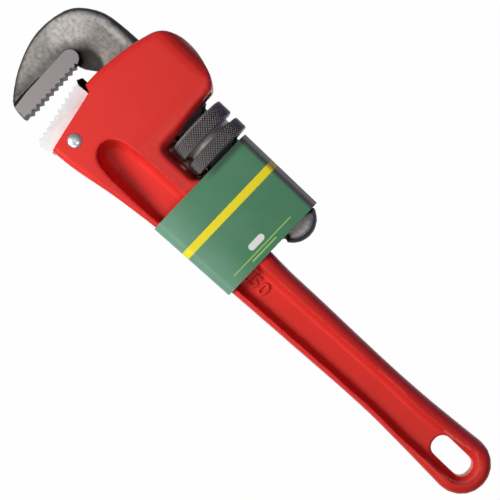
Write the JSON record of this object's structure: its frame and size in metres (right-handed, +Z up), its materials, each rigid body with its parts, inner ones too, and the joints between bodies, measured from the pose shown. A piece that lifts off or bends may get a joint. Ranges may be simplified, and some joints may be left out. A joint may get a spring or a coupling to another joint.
{
  "type": "pipe wrench",
  "caption": "Straight pipe wrench lying on its side: red cast body with a webbed handle, forged hook jaw on a threaded shank, knurled nut, heel jaw and a green card sleeve.",
  "frame": {"origin": "middle of the footprint at the opening at rest, on the plane of the housing's lower side face", "axes": "+X along the handle towards the hanging slot, +Y towards the back of the housing, +Z up out of the upper side face"},
  "size_m": [0.2432, 0.068, 0.0293],
  "materials": {
    "red_enamel": "glossy red enamel over a ductile iron casting",
    "forged_steel": "oiled drop-forged steel, with ground flats beside the teeth",
    "blackened_steel": "black oxide, diamond knurl",
    "ground_steel": "bright ground steel",
    "bright_steel": "polished pin steel",
    "spring_steel": "blued spring steel",
    "green_card": "printed coated card"
  },
  "bodies": {
    "root": {"wrench_body": "red_enamel", "heel_jaw": "ground_steel", "heel_jaw_pin": "bright_steel", "coil_spring": "spring_steel"},
    "jaw_float": {"flat_spring": "spring_steel", "spring_rivet": "bright_steel"},
    "hook": {"hook_jaw": "forged_steel"},
    "nut": {"adjusting_nut": "blackened_steel"},
    "sleeve": {"card_sleeve": "green_card"}
  },
  "joints": [
    {"name": "jaw_rock", "type": "hinge", "parent": "root", "child": "jaw_float", "pos_m": [-0.0458, 0.01287, 0.0143], "axis": [0, 0, 1], "range_deg": [-3, 0], "stiffness_Nm_per_rad": 10, "springref_deg": 2.01, "deforming": ["coil_spring"]},
    {"name": "nut_spin", "type": "hinge", "parent": "jaw_float", "child": "nut", "pos_m": [-0.0458, 0.01287, 0.0143], "axis": [1, 0, 0], "range_deg": [-257.2, 2571.6]},
    {"name": "hook_open", "type": "slide", "parent": "jaw_float", "child": "hook", "axis": [-1, 0, 0], "range_m": [-0.003, 0.03]},
    {"name": "sleeve_slide", "type": "slide", "parent": "root", "child": "sleeve", "axis": [1, 0, 0], "range_m": [0, 0.16]}
  ],
  "couplings": [
    {"joint": "nut_spin", "follows": "hook_open", "rad_per_m": 1496}
  ]
}
